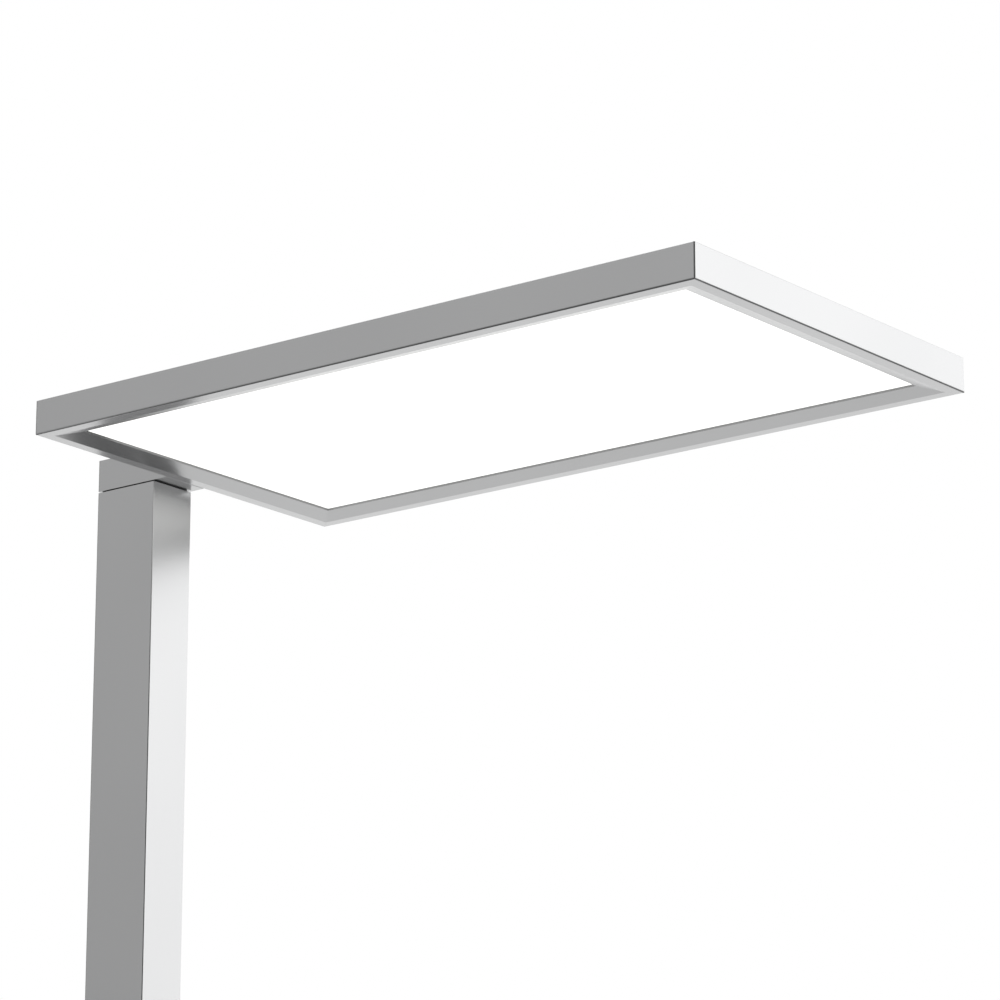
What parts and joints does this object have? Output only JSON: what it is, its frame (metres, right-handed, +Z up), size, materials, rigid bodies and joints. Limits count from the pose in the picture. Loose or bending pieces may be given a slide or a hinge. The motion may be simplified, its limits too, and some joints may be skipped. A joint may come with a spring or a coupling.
{
  "type": "floor lamp",
  "caption": "Office floor lamp: slim rectangular light panel on a square-edged column, with a swivelling neck, sprung keys, a rear mains inlet and a flat rectangular base plate.",
  "frame": {"origin": "the column's upright axis at floor level, on the underside of the base mat", "axes": "+X from the column towards the head's tip, +Y towards the head's far side, +Z up"},
  "size_m": [0.7735, 0.346, 1.95],
  "materials": {
    "satin_aluminium": "natural satin anodised, fine grain along the extrusion",
    "base_paint": "silver grey fine-texture powder coat",
    "mat_rubber": "matt moulded rubber sheet",
    "zinc_steel": "bright zinc plate",
    "milled_aluminium": "plain milled or sheared",
    "bush_bronze": "sintered bronze",
    "washer_plastic": "black acetal",
    "opal_acrylic": "satin opal, lit evenly from behind",
    "clear_acrylic": "clear polished acrylic",
    "satin_lens": "satin acrylic",
    "white_sheet": "matt white",
    "light_board": "white solder mask with yellow phosphor emitters",
    "control_circuit": "green solder mask",
    "lead_sheath": "light grey sheath",
    "panel_plastic": "fine spark texture",
    "key_plastic": "satin",
    "inlet_plastic": "black moulded",
    "contact_metal": "nickel-plated brass"
  },
  "bodies": {
    "stand": {"base_mat": "mat_rubber", "base_plate": "base_paint", "base_screws": "zinc_steel", "foot_block": "milled_aluminium", "foot_screws": "zinc_steel", "column_profile": "satin_aluminium", "bearing_block": "milled_aluminium", "bearing_screws": "zinc_steel", "swivel_bush": "bush_bronze", "thrust_washer": "washer_plastic", "pressure_washer": "zinc_steel", "driver_tray": "milled_aluminium", "tray_screw": "zinc_steel", "led_driver": "white_sheet", "driver_screws": "zinc_steel", "mains_inlet": "inlet_plastic", "inlet_pins": "contact_metal", "mains_lead": "lead_sheath", "column_lead": "lead_sheath", "key_lead": "lead_sheath", "control_panel": "panel_plastic", "control_board": "control_circuit"},
    "head": {"swivel_spigot": "zinc_steel", "stop_pin": "zinc_steel", "disc_spring": "zinc_steel", "lock_nut": "zinc_steel", "neck_block": "satin_aluminium", "spigot_screws": "zinc_steel", "neck_cap": "satin_aluminium", "cap_screws": "zinc_steel", "neck_screws": "zinc_steel", "neck_bracket": "zinc_steel", "bracket_rivets": "milled_aluminium", "head_lead": "lead_sheath", "head_terminal": "white_sheet", "frame_near": "satin_aluminium", "frame_far": "satin_aluminium", "frame_tip": "satin_aluminium", "frame_neck_end": "satin_aluminium", "corner_keys": "milled_aluminium", "diffuser": "opal_acrylic", "light_guide": "clear_acrylic", "reflector_sheet": "white_sheet", "light_strips": "light_board", "chassis_plate": "milled_aluminium", "chassis_screws": "zinc_steel", "uplight_boards": "light_board", "board_screws": "zinc_steel", "uplight_lens": "satin_lens", "top_cover": "satin_aluminium", "cover_screws": "zinc_steel"},
    "upper_key": {"upper_key": "key_plastic", "upper_stem": "key_plastic"},
    "lower_key": {"lower_key": "key_plastic", "lower_stem": "key_plastic"}
  },
  "joints": [
    {"name": "head_swivel", "type": "hinge", "parent": "stand", "child": "head", "pos_m": [0, 0, 1.9213], "axis": [0, 0, 1], "range_deg": [-90, 90]},
    {"name": "upper_key_press", "type": "slide", "parent": "stand", "child": "upper_key", "axis": [-1, 0, 0], "range_m": [0, 0.0008], "stiffness_N_per_m": 1500, "springref_m": -0.0005},
    {"name": "lower_key_press", "type": "slide", "parent": "stand", "child": "lower_key", "axis": [-1, 0, 0], "range_m": [0, 0.0008], "stiffness_N_per_m": 1500, "springref_m": -0.0005}
  ]
}
